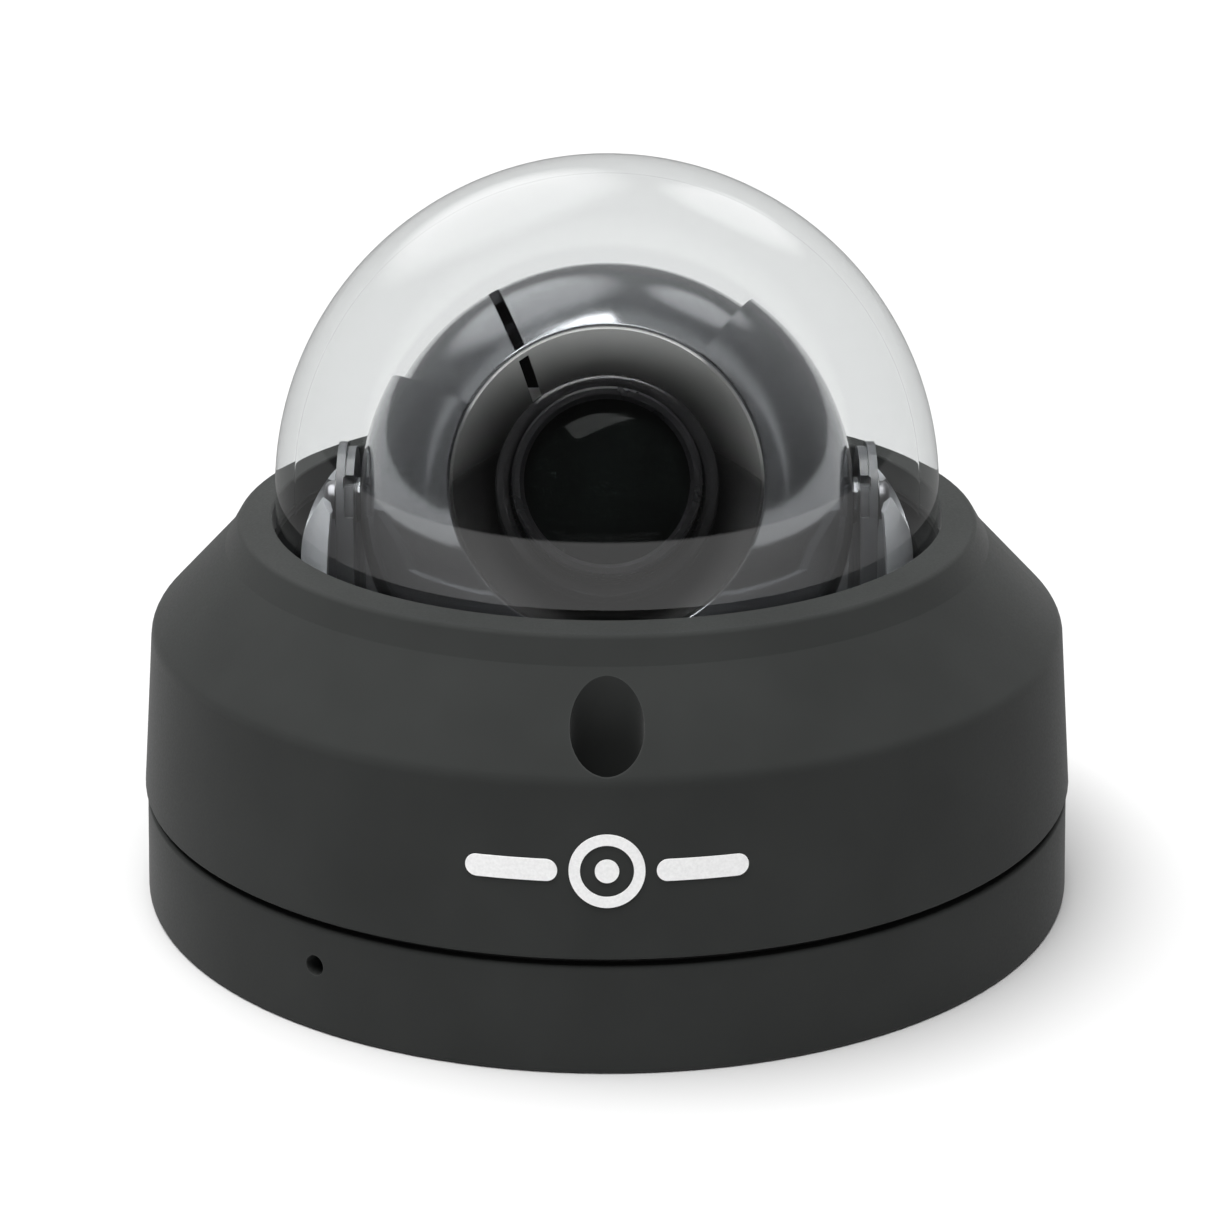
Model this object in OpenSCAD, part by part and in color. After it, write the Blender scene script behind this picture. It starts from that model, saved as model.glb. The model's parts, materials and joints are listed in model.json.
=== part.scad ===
// Vandal-resistant dome camera: die-cast base and cover, clear bubble, three-axis eyeball.
// Z points away from the mounting face, and the lens looks towards -Y.

/* [Base] */
// Radius of the base at the mounting face
base_r = 61; // [60.8:0.1:62]
// Radius of the base at its top edge
base_top_r = 60.5; // [60.2:0.1:60.8]
// Height of the base ring
base_h = 13.6; // [13.4:0.1:13.8]
// Thickness of the base floor
floor_t = 3; // [2.6:0.1:3]
// Radius of the inside of the base wall
base_in_r = 57.5; // [57.4:0.1:57.8]
// Radius of each mounting hole
mount_hole_r = 2.25; // [1.75:0.05:2.5]
// Radius of the circle of mounting holes
mount_pitch_r = 46.5; // [46:0.1:47]
// Distance of the cable gland from the centre
gland_y = 20; // [19:0.5:21]
// Radius of the cable bore in the gland
gland_bore_r = 3.1; // [2.5:0.1:4]
// Azimuth of the microphone hole, from the front towards -X
mic_azimuth = 35; // [32:1:40]
// Height of the microphone hole
mic_z = 8.6; // [8.2:0.1:8.6]
// Radius of the microphone hole
mic_hole_r = 1.3; // [0.8:0.1:1.4]

/* [Cover] */
// Gap between base and cover that the gasket fills
seam_h = 1; // [0.8:0.1:1.2]
// Radius of the cover at its lower edge
cover_r = 60.8; // [60.6:0.1:61]
// Radius of the cover at its shoulder
shoulder_r = 59; // [58.8:0.1:59.4]
// Height of the shoulder
shoulder_z = 36.1; // [35.8:0.1:36.4]
// Radius at the foot of the collar
collar_foot_r = 49.2; // [49:0.1:49.4]
// Height at the foot of the collar
collar_foot_z = 46.4; // [46.2:0.1:46.6]
// Radius at the top edge of the collar
collar_top_r = 47.4; // [47:0.1:47.6]
// Height of the top edge of the collar
collar_top_z = 49.5; // [49.3:0.1:49.7]
// Height of the collar at the bubble
collar_crown_z = 50; // [49.9:0.1:50.2]
// Thickness of the cover's wall
cover_wall = 2.5; // [2.2:0.1:2.6]
// Radius of each screw well
well_r = 4.3; // [4:0.1:4.5]
// Distance of each screw well from the centre
well_pitch_r = 54.25; // [54:0.05:54.5]
// Height of the screw wells' floor
well_floor_z = 19; // [18:0.5:21]
// Height of the printed mark's middle
mark_z = 25.5; // [24:0.5:27]

/* [Bubble] */
// Outer radius of the bubble
dome_r = 42.6; // [42.5:0.1:42.8]
// Height of the middle of the bubble's sphere
dome_z = 52.6; // [52.4:0.1:52.8]
// Thickness of the bubble
dome_wall = 2.5; // [2:0.1:2.6]

/* [Eyeball] */
// Height of the tilt axis
pivot_z = 50.8; // [50.6:0.1:51]
// Elevation of the lens at rest
lens_elevation = 23; // [10:1:40]
// Outer radius of the eyeball
ball_r = 30.5; // [30.4:0.05:30.6]
// Thickness of the eyeball's shells
ball_wall = 1.6; // [1.4:0.1:1.6]
// Outer radius of the cradle round the eyeball
cradle_r = 31.9; // [31.85:0.05:31.95]
// Thickness of the cradle
cradle_wall = 1.1; // [1:0.05:1.15]
// Azimuth about the lens where the gap in the cradle starts
cradle_gap_from = 53.7; // [45:0.1:60]
// Azimuth about the lens where the gap in the cradle ends
cradle_gap_to = 150.6; // [140:0.1:155]
// Radius of the opening for the lens in the eyeball
eye_r = 19.45; // [19.3:0.05:19.6]
// Radius of the trunnion pins
trunnion_r = 3; // [2.8:0.05:3.2]

/* [Lens] */
// Radius of the front of the lens barrel
barrel_r = 11.6; // [11.4:0.1:11.8]
// Radius of the front glass
glass_r = 10.5; // [10.3:0.1:10.6]
// Distance of the barrel's front from the middle of the eyeball
barrel_front = 24.6; // [23:0.1:25]
// Teeth on the zoom and focus rings
ring_teeth = 50; // [50:1:50]
// Teeth on each pinion
pinion_teeth = 12; // [12:1:12]
// Gear module
gear_module = 0.5; // [0.5:0.05:0.5]

/* [Clearances] */
// Radial clearance of a running fit
run_gap = 0.05; // [0.03:0.01:0.08]
// Gap between parts that pass each other
pass_gap = 0.3; // [0.25:0.05:0.35]

/* [Hidden] */
$fn = 96;
eps = 0.01;
seam_z = base_h + seam_h;
well_count = 3;
well_wall = 1.4;
boss_r = 4;
cover_screw_r = 1.95;
exit_z = 7.8;
exit_r = 3;
spigot_r = base_in_r - pass_gap;
flange_r = 46.6;
flange_top = 45.7;
flange_t = 1.6;
seal_t = 0.8;
pocket_r = 47;
pocket_z = flange_top + seal_t;
ring_bottom = 38.3;
ear_t = 1.6;
ear_pitch_r = 49;
ear_r = 2.3;
mouth_r = dome_r + 0.5;
dome_in_r = dome_r - dome_wall;
board_r = 40;
board_z = 6;
board_t = 1.6;
board_top = board_z + board_t;
post_pitch_r = 35;
post_r = 2.6;
chassis_r = 41;
chassis_z = 12.5;
chassis_t = 1.5;
chassis_top = chassis_z + chassis_t;
hub_r = 12;
hub_bore_r = 6.5;
hub_top = 17.9;
table_z = 15.6;
table_t = 2;
table_top = table_z + table_t;
table_r = 39.6;
arm_in = cradle_r + pass_gap;
arm_out = arm_in + 2.2;
arm_top_r = 7.6;
arm_foot_t = 1.8;
liner_r = 39.6;
liner_t = 1.2;
liner_ring_z = 43.5;
liner_top_r = 36.5;
liner_top_z = 52.5;
shell_gap = 0.05;
ball_in_r = ball_r - ball_wall;
cradle_in_r = cradle_r - cradle_wall;
cradle_split = 4.3;
cradle_gap_mid = (cradle_gap_from + cradle_gap_to) / 2;
lug_azimuths = [215, 325];
lug_pitch_r = 33;
lug_r = 1.8;
ball_boss_at = [[20.8, 12], [-20.8, 12], [-20.8, -12], [20.8, -12]];
plate_t = 1.6;
slot_azimuth = 112;
slot_shift = 3.7;
slot_w = 1.4;
cone_in_r = 14;
cone_in_w = 11;
cone_rim_w = sqrt(pow(ball_r, 2) - pow(eye_r, 2));
mount_x = 27;
mount_y = 21;
mount_back = -10.2;
sensor_board_t = 1.2;
gear_centres = gear_module * (ring_teeth + pinion_teeth) / 2;
focus_w = 1.4;
zoom_w = 5.4;
gear_h = 3.2;
filter_travel = 7;

// ---- Helpers ----

function unit(v) = v / norm(v);
function wrap(a) = a > 180 ? a - 360 : a <= -180 ? a + 360 : a;

// Half the angle at b between the ways to a and to c
function half_angle(a, b, c) = acos(unit(a - b) * unit(c - b)) / 2;

// The point at distance d from both edges that meet at b
function inset(a, b, c, d) =
    b + unit(unit(a - b) + unit(c - b)) * d / sin(half_angle(a, b, c));

// Points of an arc of radius r that rounds the corner b
function fillet(a, b, c, r, n) =
    let (
        reach = r / tan(half_angle(a, b, c)),
        o = inset(a, b, c, r),
        p = b + unit(a - b) * reach,
        q = b + unit(c - b) * reach,
        from = atan2(p.y - o.y, p.x - o.x),
        sweep = wrap(atan2(q.y - o.y, q.x - o.x) - from)
    )
    [for (i = [0 : n]) o + r * [cos(from + sweep * i / n), sin(from + sweep * i / n)]];

// An outline from corners [x, y, radius], with a rounded corner where the radius isn't 0
function outline(c, n = 6) =
    [for (i = [0 : len(c) - 1])
        let (
            a = c[(i + len(c) - 1) % len(c)],
            d = c[(i + 1) % len(c)],
            b = [c[i].x, c[i].y]
        )
        each (c[i][2] > 0 ? fillet([a.x, a.y], b, [d.x, d.y], c[i][2], n) : [b])];

// Points of an arc about [x, y] from one angle to another
function arc(x, y, r, from, to, n) =
    [for (i = [0 : n]) [x + r * cos(from + (to - from) * i / n),
                        y + r * sin(from + (to - from) * i / n)]];

// Children at equal steps round Z, the first one towards -Y and pitch away from the centre
module around(count, pitch, first = 0) {
    for (i = [0 : count - 1])
        rotate([0, 0, first + 360 * i / count])
            translate([0, -pitch, 0])
                children();
}

// A tube between two heights
module tube(r_out, r_in, z0, z1) {
    translate([0, 0, z0])
        difference() {
            cylinder(r = r_out, h = z1 - z0);
            translate([0, 0, -1])
                cylinder(r = r_in, h = z1 - z0 + 2);
        }
}

// A solid cylinder between two heights
module rod(r, z0, z1) {
    translate([0, 0, z0])
        cylinder(r = r, h = z1 - z0);
}

// A box between two corners
module block(lo, hi) {
    translate(lo)
        cube(hi - lo);
}

// Pan-head screw: its head stands on z = 0 and its shank hangs below
module screw(head_r, head_h, shank_r, shank_l, drive_r) {
    difference() {
        union() {
            rotate_extrude()
                polygon(outline([[0, 0, 0], [head_r, 0, 0], [head_r, head_h, head_h * 0.6],
                                 [0, head_h, 0]], 4));
            rod(shank_r, -shank_l, eps);
        }
        translate([0, 0, head_h * 0.4])
            cylinder(r = drive_r, h = head_h, $fn = 6);
    }
}

// Places children in the eyeball's own frame, where Z runs out through the lens
module eyeball_frame() {
    translate([0, 0, pivot_z])
        rotate([90 - lens_elevation, 0, 0])
            children();
}

// Straight-flanked gear
module gear(teeth, bore_r, h, first = 0) {
    pitch_r = gear_module * teeth / 2;
    step = 360 / teeth;
    root_r = pitch_r - 1.25 * gear_module;
    tip_r = pitch_r + 0.85 * gear_module;
    function on(r, a) = r * [cos(a), sin(a)];
    difference() {
        linear_extrude(height = h)
            polygon([for (i = [0 : teeth - 1])
                let (a = first + i * step)
                each [on(root_r, a - 0.26 * step), on(tip_r, a - 0.09 * step),
                      on(tip_r, a + 0.09 * step), on(root_r, a + 0.26 * step)]]);
        translate([0, 0, -1])
            cylinder(r = bore_r, h = h + 2);
    }
}

// ---- Base ----

module base_shell() {
    rotate_extrude($fn = 180)
        polygon(outline([[0, 0, 0], [base_r, 0, 0.6], [base_top_r, base_h, 0.5],
                         [base_in_r, base_h, 0], [base_in_r, floor_t, 1.5], [0, floor_t, 0]], 4));
}

module base_casting() {
    color([0.17, 0.18, 0.18])
        difference() {
            union() {
                base_shell();
                around(well_count, well_pitch_r)
                    rod(boss_r, 1, seam_z - 0.2);
                around(4, post_pitch_r, 45)
                    rod(post_r, 1, board_z);
                around(3, mount_pitch_r, 60)
                    rod(4.5, 1, floor_t + 1);
            }
            around(well_count, well_pitch_r)
                rod(cover_screw_r + run_gap, 5, seam_z + 1);
            around(4, post_pitch_r, 45)
                rod(1.2, 2, board_z + 1);
            around(3, mount_pitch_r, 60)
                rod(mount_hole_r, -1, floor_t + 2);
            translate([0, gland_y, 0])
                rod(8, -1, floor_t + 1);
            rotate([0, 0, -mic_azimuth])
                translate([0, -base_in_r + 1, mic_z])
                    rotate([90, 0, 0])
                        cylinder(r = mic_hole_r, h = 6);
            translate([0, base_in_r - 1, exit_z])
                rotate([-90, 0, 0])
                    cylinder(r = exit_r, h = 6);
        }
}

module base_gasket() {
    color([0.03, 0.03, 0.03])
        difference() {
            tube(base_top_r - 1.4, base_in_r + 0.2, base_h, seam_z);
            around(well_count, well_pitch_r)
                rod(boss_r + run_gap, base_h - 1, seam_z + 1);
        }
}

module cable_gland() {
    color([0.05, 0.05, 0.05])
        translate([0, gland_y, 0])
            difference() {
                union() {
                    rod(7.95, 0.2, floor_t + eps);
                    rod(9.6, floor_t, floor_t + 1.2);
                }
                rod(gland_bore_r, -1, floor_t + 3);
            }
}

module side_exit_plug() {
    color([0.05, 0.05, 0.05])
        translate([0, 0, exit_z])
            rotate([-90, 0, 0])
                difference() {
                    union() {
                        rod(exit_r - 0.05, base_in_r - 0.2, base_top_r - 0.4);
                        rod(exit_r + 0.5, base_in_r - 1.5, base_in_r - 0.2);
                    }
                    rod(exit_r - 1.2, base_in_r - 2, base_top_r - 2);
                }
}

// Places children on the microphone's axis, where Z points outwards
module mic_axis() {
    rotate([0, 0, -mic_azimuth])
        translate([0, 0, mic_z])
            rotate([90, 0, 0])
                children();
}

module mic_boot() {
    color([0.06, 0.06, 0.06])
        mic_axis()
            difference() {
                rod(2.6, 53.4, base_in_r - 0.15);
                rod(1.95, 52, 56.6);
                rod(0.9, 56, 60);
            }
}

module microphone() {
    color([0.75, 0.75, 0.76])
        mic_axis()
            difference() {
                rod(1.9, 54.2, 56.5);
                rod(0.5, 56, 57);
            }
}

// ---- Electronics ----

module main_board() {
    color([0.05, 0.25, 0.12])
        difference() {
            rod(board_r, board_z, board_top);
            around(4, post_pitch_r, 45)
                rod(1.3, 0, 20);
            translate([0, gland_y, 0])
                rod(7, 0, 20);
        }
}

module soc_heatsink() {
    color([0.6, 0.61, 0.63])
        difference() {
            block([-24, -22, board_top], [-6, -4, board_top + 4.4]);
            for (i = [0 : 5])
                translate([-22.4 + 2.8 * i, -23, board_top + 1.4])
                    cube([1.4, 20, 5]);
        }
}

module lan_transformer() {
    color([0.06, 0.06, 0.06])
        difference() {
            block([5, -27, board_top], [21, -16, board_top + 4]);
            translate([7, -18, board_top + 3.8])
                cylinder(r = 0.7, h = 1);
        }
}

module board_connectors() {
    color([0.88, 0.87, 0.82])
        for (at = [[-30, 4], [-30, 14], [14, 14]])
            translate([at.x, at.y, board_top])
                difference() {
                    cube([10, 5.6, 4.2]);
                    translate([0.8, 0.8, 1.2])
                        cube([8.4, 4, 4]);
                }
}

module sd_socket() {
    color([0.72, 0.73, 0.74])
        difference() {
            block([25, -7.5, board_top], [40.5, 7.5, board_top + 1.9]);
            block([26.3, -5.7, board_top + 0.4], [42, 5.7, board_top + 1.4]);
            block([36, -3, board_top + 1], [42, 3, board_top + 3]);
        }
}

module micro_sd_card() {
    color([0.08, 0.08, 0.09])
        difference() {
            block([26.6, -5.5, board_top + 0.55], [41.6, 5.5, board_top + 1.25]);
            block([26, 4.2, board_top], [31, 6, board_top + 2]);
        }
}

module reset_switch() {
    color([0.1, 0.1, 0.1])
        difference() {
            block([-40, -3, board_top], [-35, 3, board_top + 3.6]);
            translate([-41, 0, board_top + 1.8])
                rotate([0, 90, 0])
                    cylinder(r = 1.45, h = 4.9);
        }
}

module reset_button() {
    color([0.55, 0.1, 0.1])
        translate([-42, 0, board_top + 1.8])
            rotate([0, 90, 0])
                cylinder(r = 1.4, h = 5.4);
}

// ---- Chassis and pan bearing ----

module board_standoffs() {
    color([0.75, 0.7, 0.5])
        around(4, post_pitch_r, 45)
            difference() {
                union() {
                    translate([0, 0, board_top])
                        cylinder(r = 2.6, h = chassis_z - board_top, $fn = 6);
                    rod(1.15, 2.4, board_top + eps);
                }
                rod(1.2, board_top + 1, chassis_z + 1);
            }
}

module chassis_plate() {
    color([0.55, 0.56, 0.58])
        difference() {
            union() {
                rod(chassis_r, chassis_z, chassis_top);
                rod(hub_r, chassis_z, hub_top);
            }
            rod(hub_bore_r, 0, 30);
            around(4, post_pitch_r, 45)
                rod(1.4, 0, 30);
            around(4, 25)
                rod(5.5, 0, 30);
            around(3, 9.25)
                rod(0.85, chassis_top, 30);
        }
}

module chassis_screws() {
    color([0.7, 0.7, 0.72])
        around(4, post_pitch_r, 45)
            translate([0, 0, chassis_top])
                screw(2.3, 1.3, 1.15, 4.6, 1);
}

module pan_retainer() {
    color([0.65, 0.66, 0.68])
        difference() {
            tube(13.8, hub_bore_r, hub_top, hub_top + 1);
            around(3, 9.25)
                rod(1, 0, 30);
        }
}

module pan_friction_washer() {
    color([0.8, 0.78, 0.7])
        tube(13.6, hub_r + 0.12, table_top + 0.03, hub_top - 0.03);
}

module retainer_screws() {
    color([0.7, 0.7, 0.72])
        around(3, 9.25)
            translate([0, 0, hub_top + 1])
                screw(1.6, 0.9, 0.8, 3.6, 0.6);
}

// ---- Cover ----

// Wall of the cover in section, with the spigot that centres it in the base
module cover_shell() {
    low = [cover_r, seam_z];
    corner = [shoulder_r, shoulder_z];
    foot = [collar_foot_r, collar_foot_z];
    in_corner = inset(low, corner, foot, cover_wall);
    rise = (in_corner.x - pocket_r) * (foot.y - corner.y) / (corner.x - foot.x);
    rotate_extrude($fn = 180)
        polygon(outline([[spigot_r - 2, seam_z - 3, 0], [spigot_r, seam_z - 3, 0],
                         [spigot_r, seam_z, 0], [cover_r, seam_z, 0.4],
                         [shoulder_r, shoulder_z, 2.6], [collar_foot_r, collar_foot_z, 0.5],
                         [collar_top_r, collar_top_z, 0.9], [mouth_r, collar_crown_z, 0.3],
                         [mouth_r, pocket_z, 0], [pocket_r, pocket_z, 0],
                         [pocket_r, in_corner.y + rise, 0], [in_corner.x, in_corner.y, 2],
                         [cover_r - cover_wall, seam_z + 1.4, 0],
                         [spigot_r - 2, seam_z + 1.4, 0]]));
}

// Space just inside the cover's outer surface, to trim what stands against it
module cover_envelope() {
    rotate_extrude($fn = 180)
        polygon([[pocket_r, seam_z], [cover_r - 0.4, seam_z], [shoulder_r - 0.4, shoulder_z - 0.5],
                 [collar_foot_r - 0.4, collar_foot_z - 0.4], [pocket_r, collar_foot_z - 0.4]]);
}

module cover_housing() {
    color([0.2, 0.21, 0.21])
        difference() {
            union() {
                cover_shell();
                intersection() {
                    cover_envelope();
                    union() {
                        around(well_count, well_pitch_r)
                            rod(well_r + well_wall, seam_z - 1, 60);
                        around(3, ear_pitch_r, 60)
                            rod(ear_r, ring_bottom + ear_t, 60);
                    }
                }
            }
            around(well_count, well_pitch_r) {
                rod(well_r, well_floor_z, 60);
                rod(cover_screw_r + 0.35, 0, 60);
                rod(boss_r + 0.5, 0, seam_z - 0.1);
            }
            around(3, ear_pitch_r, 60)
                rod(0.85, 30, 44.6);
        }
}

module dome_bubble() {
    flange_z = flange_top - flange_t;
    color([0.85, 0.88, 0.9, 0.35])
        rotate_extrude($fn = 180)
            difference() {
                union() {
                    intersection() {
                        translate([0, dome_z])
                            circle(r = dome_r, $fn = 180);
                        translate([0, dome_z])
                            square(dome_r + 1);
                    }
                    translate([0, flange_z])
                        square([dome_r, dome_z - flange_z]);
                    translate([0, flange_z])
                        square([flange_r, flange_t]);
                }
                translate([0, dome_z])
                    circle(r = dome_in_r, $fn = 180);
                translate([0, flange_z - 1])
                    square([dome_in_r, dome_z - flange_z + 1]);
            }
}

module dome_seal() {
    color([0.03, 0.03, 0.03])
        tube(flange_r - 0.2, dome_r + 0.1, flange_top, pocket_z);
}

module dome_clamp_ring() {
    flange_z = flange_top - flange_t;
    color([0.1, 0.1, 0.1])
        difference() {
            union() {
                rod(pocket_r - 0.3, ring_bottom, flange_z);
                around(3, ear_pitch_r, 60) {
                    rod(ear_r, ring_bottom, ring_bottom + ear_t);
                    translate([-ear_r, 0, ring_bottom])
                        cube([2 * ear_r, ear_pitch_r - pocket_r + 2, ear_t]);
                }
            }
            rod(dome_in_r + 0.4, 0, 60);
            rod(pocket_r - 2, ring_bottom - 1, flange_z - 2);
            around(3, ear_pitch_r, 60)
                rod(1.1, 0, 60);
        }
}

module clamp_screws() {
    color([0.7, 0.7, 0.72])
        around(3, ear_pitch_r, 60)
            translate([0, 0, ring_bottom])
                rotate([180, 0, 0])
                    screw(1.9, 1.3, 0.8, 5.8, 0.8);
}

module cover_screws() {
    color([0.35, 0.35, 0.36])
        around(well_count, well_pitch_r)
            translate([0, 0, well_floor_z])
                screw(3.5, 2.6, cover_screw_r, well_floor_z - 6, 1.5);
}

// Plain bar, ring and bar printed on the front of the cover
module mark_shape() {
    difference() {
        circle(r = 4.4);
        circle(r = 3.1);
    }
    circle(r = 1.4);
    for (side = [-1, 1])
        translate([side * 11, 0]) {
            square([8, 2.6], center = true);
            for (end = [-1, 1])
                translate([end * 4, 0])
                    circle(r = 1.3);
        }
}

module printed_mark() {
    slope = (cover_r - shoulder_r) / (shoulder_z - seam_z);
    low = cover_r - slope * (mark_z - 6 - seam_z);
    high = cover_r - slope * (mark_z + 6 - seam_z);
    color([0.95, 0.95, 0.95])
        intersection() {
            rotate_extrude($fn = 180)
                polygon([[low + 0.01, mark_z - 6], [low + 0.16, mark_z - 6],
                         [high + 0.16, mark_z + 6], [high + 0.01, mark_z + 6]]);
            translate([0, -50, mark_z])
                rotate([90, 0, 0])
                    linear_extrude(height = 20)
                        mark_shape();
        }
}

// ---- Pan body ----

module turntable() {
    color([0.12, 0.12, 0.12])
        difference() {
            tube(table_r, hub_r + run_gap, table_z, table_top);
            for (side = [-1, 1])
                for (y = [-6, 6])
                    translate([side * 28, y, 0])
                        rod(0.85, 0, 30);
        }
}

// One arm of the yoke, on the +X side
module yoke_arm() {
    difference() {
        union() {
            translate([arm_in, 0, 0])
                rotate([90, 0, 90])
                    linear_extrude(height = arm_out - arm_in)
                        union() {
                            polygon([[-13, table_top], [13, table_top],
                                     [arm_top_r, pivot_z], [-arm_top_r, pivot_z]]);
                            translate([0, pivot_z])
                                circle(r = arm_top_r);
                        }
            block([24, -11, table_top], [arm_out, 11, table_top + arm_foot_t]);
        }
        // The inner half of the arm's rounded end steps down
        translate([arm_in - 1, 0, pivot_z])
            rotate([0, 90, 0])
                difference() {
                    cylinder(r = arm_top_r + 2, h = 2.1);
                    translate([0, 0, -1])
                        cylinder(r = arm_top_r - 0.6, h = 5);
                    translate([0, -15, -1])
                        cube([30, 30, 5]);
                }
        translate([arm_in - 1, 0, pivot_z])
            rotate([0, 90, 0])
                cylinder(r = trunnion_r + run_gap, h = 8);
        block([arm_in - 1, -9, pivot_z + 3.7], [arm_in + 1.3, -4.6, pivot_z + 4.9]);
        for (y = [-6, 6])
            translate([28, y, 0])
                rod(1.1, 0, 30);
    }
}

module yoke_arm_left() {
    color([0.16, 0.165, 0.17])
        mirror([1, 0, 0])
            yoke_arm();
}

module yoke_arm_right() {
    color([0.16, 0.165, 0.17])
        yoke_arm();
}

module arm_screws() {
    color([0.7, 0.7, 0.72])
        for (side = [-1, 1])
            for (y = [-6, 6])
                translate([side * 28, y, table_top + arm_foot_t])
                    screw(1.9, 1.3, 0.8, 3.4, 0.8);
}

// Shroud round the yoke, with a raised cheek outside each arm
module inner_liner() {
    rise = liner_top_z - liner_ring_z;
    run = liner_r - liner_top_r;
    bulge_r = (rise * rise + run * run) / (2 * run);
    sweep = asin(rise / bulge_r);
    cx = liner_r - bulge_r;
    color([0.3, 0.31, 0.32])
        difference() {
            rotate_extrude($fn = 180)
                polygon(concat(
                    [[liner_r, table_top]],
                    arc(cx, liner_ring_z, bulge_r, 0, sweep, 8),
                    arc(cx, liner_ring_z, bulge_r - liner_t, sweep, 0, 8),
                    [[liner_r - liner_t, table_top]]));
            block([-34.8, -60, liner_ring_z], [34.8, 60, 60]);
            for (side = [-1, 1])
                translate([side * 40, 0, pivot_z])
                    rotate([0, 90, 0])
                        cylinder(r = 4.2, h = 20, center = true);
        }
}

// ---- Tilt body ----

// A ball with its seam towards the gap in the cradle
module gap_sphere(r) {
    rotate([0, 0, cradle_gap_mid])
        sphere(r = r, $fn = 128);
}

module cradle_shell() {
    far = 60;
    half = (cradle_gap_to - cradle_gap_from) / 2;
    difference() {
        gap_sphere(cradle_r);
        gap_sphere(cradle_in_r);
        rotate([0, 0, cradle_gap_mid]) {
            rod(eye_r, -far, far);
            translate([0, 0, -far])
                linear_extrude(height = 2 * far)
                    polygon([[0, 0], far * [cos(half), -sin(half)], [1.4 * far, 0],
                             far * [cos(half), sin(half)]]);
        }
    }
}

// Lugs on the cradle between two distances along the lens axis
module cradle_lugs(w0, w1, hole_r) {
    for (a = lug_azimuths)
        rotate([0, 0, a])
            difference() {
                translate([lug_pitch_r, 0, 0])
                    rod(lug_r, w0, w1);
                rotate([0, 0, -a])
                    gap_sphere(cradle_in_r + 0.2);
                translate([lug_pitch_r, 0, 0])
                    rod(hole_r, w0 - 1, w1 + 1);
            }
}

module cradle_front() {
    color([0.22, 0.225, 0.235])
        eyeball_frame() {
            intersection() {
                cradle_shell();
                rod(60, cradle_split + shell_gap, 60);
            }
            cradle_lugs(cradle_split + shell_gap, cradle_split + 3, 0.65);
        }
}

module cradle_rear() {
    color([0.22, 0.225, 0.235])
        eyeball_frame() {
            difference() {
                union() {
                    intersection() {
                        cradle_shell();
                        rod(60, -60, cradle_split - shell_gap);
                    }
                    difference() {
                        rotate([0, 90, 0])
                            cylinder(r = trunnion_r, h = 2 * (arm_out + 0.05), center = true);
                        gap_sphere(cradle_in_r + 0.2);
                    }
                }
                rotate([0, 90, 0])
                    cylinder(r = 1.25, h = 100, center = true);
            }
            cradle_lugs(cradle_split - 3, cradle_split - shell_gap, 0.8);
        }
}

module cradle_screws() {
    color([0.7, 0.7, 0.72])
        eyeball_frame()
            for (a = lug_azimuths)
                rotate([0, 0, a])
                    translate([lug_pitch_r, 0, cradle_split - 3])
                        rotate([180, 0, 0])
                            screw(1.05, 1, 0.6, 5.4, 0.5);
}

module pivot_washers() {
    color([0.8, 0.78, 0.7])
        translate([0, 0, pivot_z])
            for (side = [-1, 1])
                rotate([0, side * 90, 0])
                    tube(3.9, 1.3, arm_out + 0.08, arm_out + 0.48);
}

module pivot_screws() {
    color([0.7, 0.7, 0.72])
        translate([0, 0, pivot_z])
            for (side = [-1, 1])
                rotate([0, side * 90, 0])
                    translate([0, 0, arm_out + 0.48])
                        screw(2.5, 1.5, 1.2, 3.6, 1);
}

// ---- Eyeball body ----

module ball_shell() {
    difference() {
        sphere(r = ball_r, $fn = 128);
        sphere(r = ball_in_r, $fn = 128);
    }
}

// Slot for the lever, which runs outwards beside the lens axis
module lever_slot(from_x, low, high) {
    rotate([0, 0, slot_azimuth])
        translate([0, slot_shift, 0])
            block([from_x, -slot_w / 2, low], [60, slot_w / 2, high]);
}

module ball_front_shell() {
    color([0.2, 0.205, 0.21])
        eyeball_frame()
            difference() {
                union() {
                    intersection() {
                        ball_shell();
                        rod(60, shell_gap, 60);
                    }
                    for (at = ball_boss_at)
                        intersection() {
                            translate(at)
                                rod(2.4, shell_gap, 16);
                            sphere(r = ball_r - 0.5, $fn = 128);
                        }
                }
                rod(eye_r, 0, 60);
                for (at = ball_boss_at)
                    translate(at)
                        rod(0.85, -1, 8);
                lever_slot(eye_r - 4, 4, 40);
            }
}

module ball_rear_shell() {
    color([0.2, 0.205, 0.21])
        eyeball_frame()
            difference() {
                union() {
                    intersection() {
                        ball_shell();
                        rod(60, -60, -shell_gap);
                    }
                    for (at = ball_boss_at)
                        intersection() {
                            translate(at)
                                rod(3, -18, -plate_t);
                            sphere(r = ball_r - 0.5, $fn = 128);
                        }
                }
                rod(10, -60, -10);
                for (at = ball_boss_at)
                    translate(at) {
                        rod(1.1, -60, 0);
                        rod(2.1, -60, -plate_t - 1.8);
                    }
            }
}

module ball_screws() {
    color([0.7, 0.7, 0.72])
        eyeball_frame()
            for (at = ball_boss_at)
                translate([at.x, at.y, -plate_t - 1.8])
                    rotate([180, 0, 0])
                        screw(1.8, 1.3, 0.8, 10.2, 0.8);
}

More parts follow.
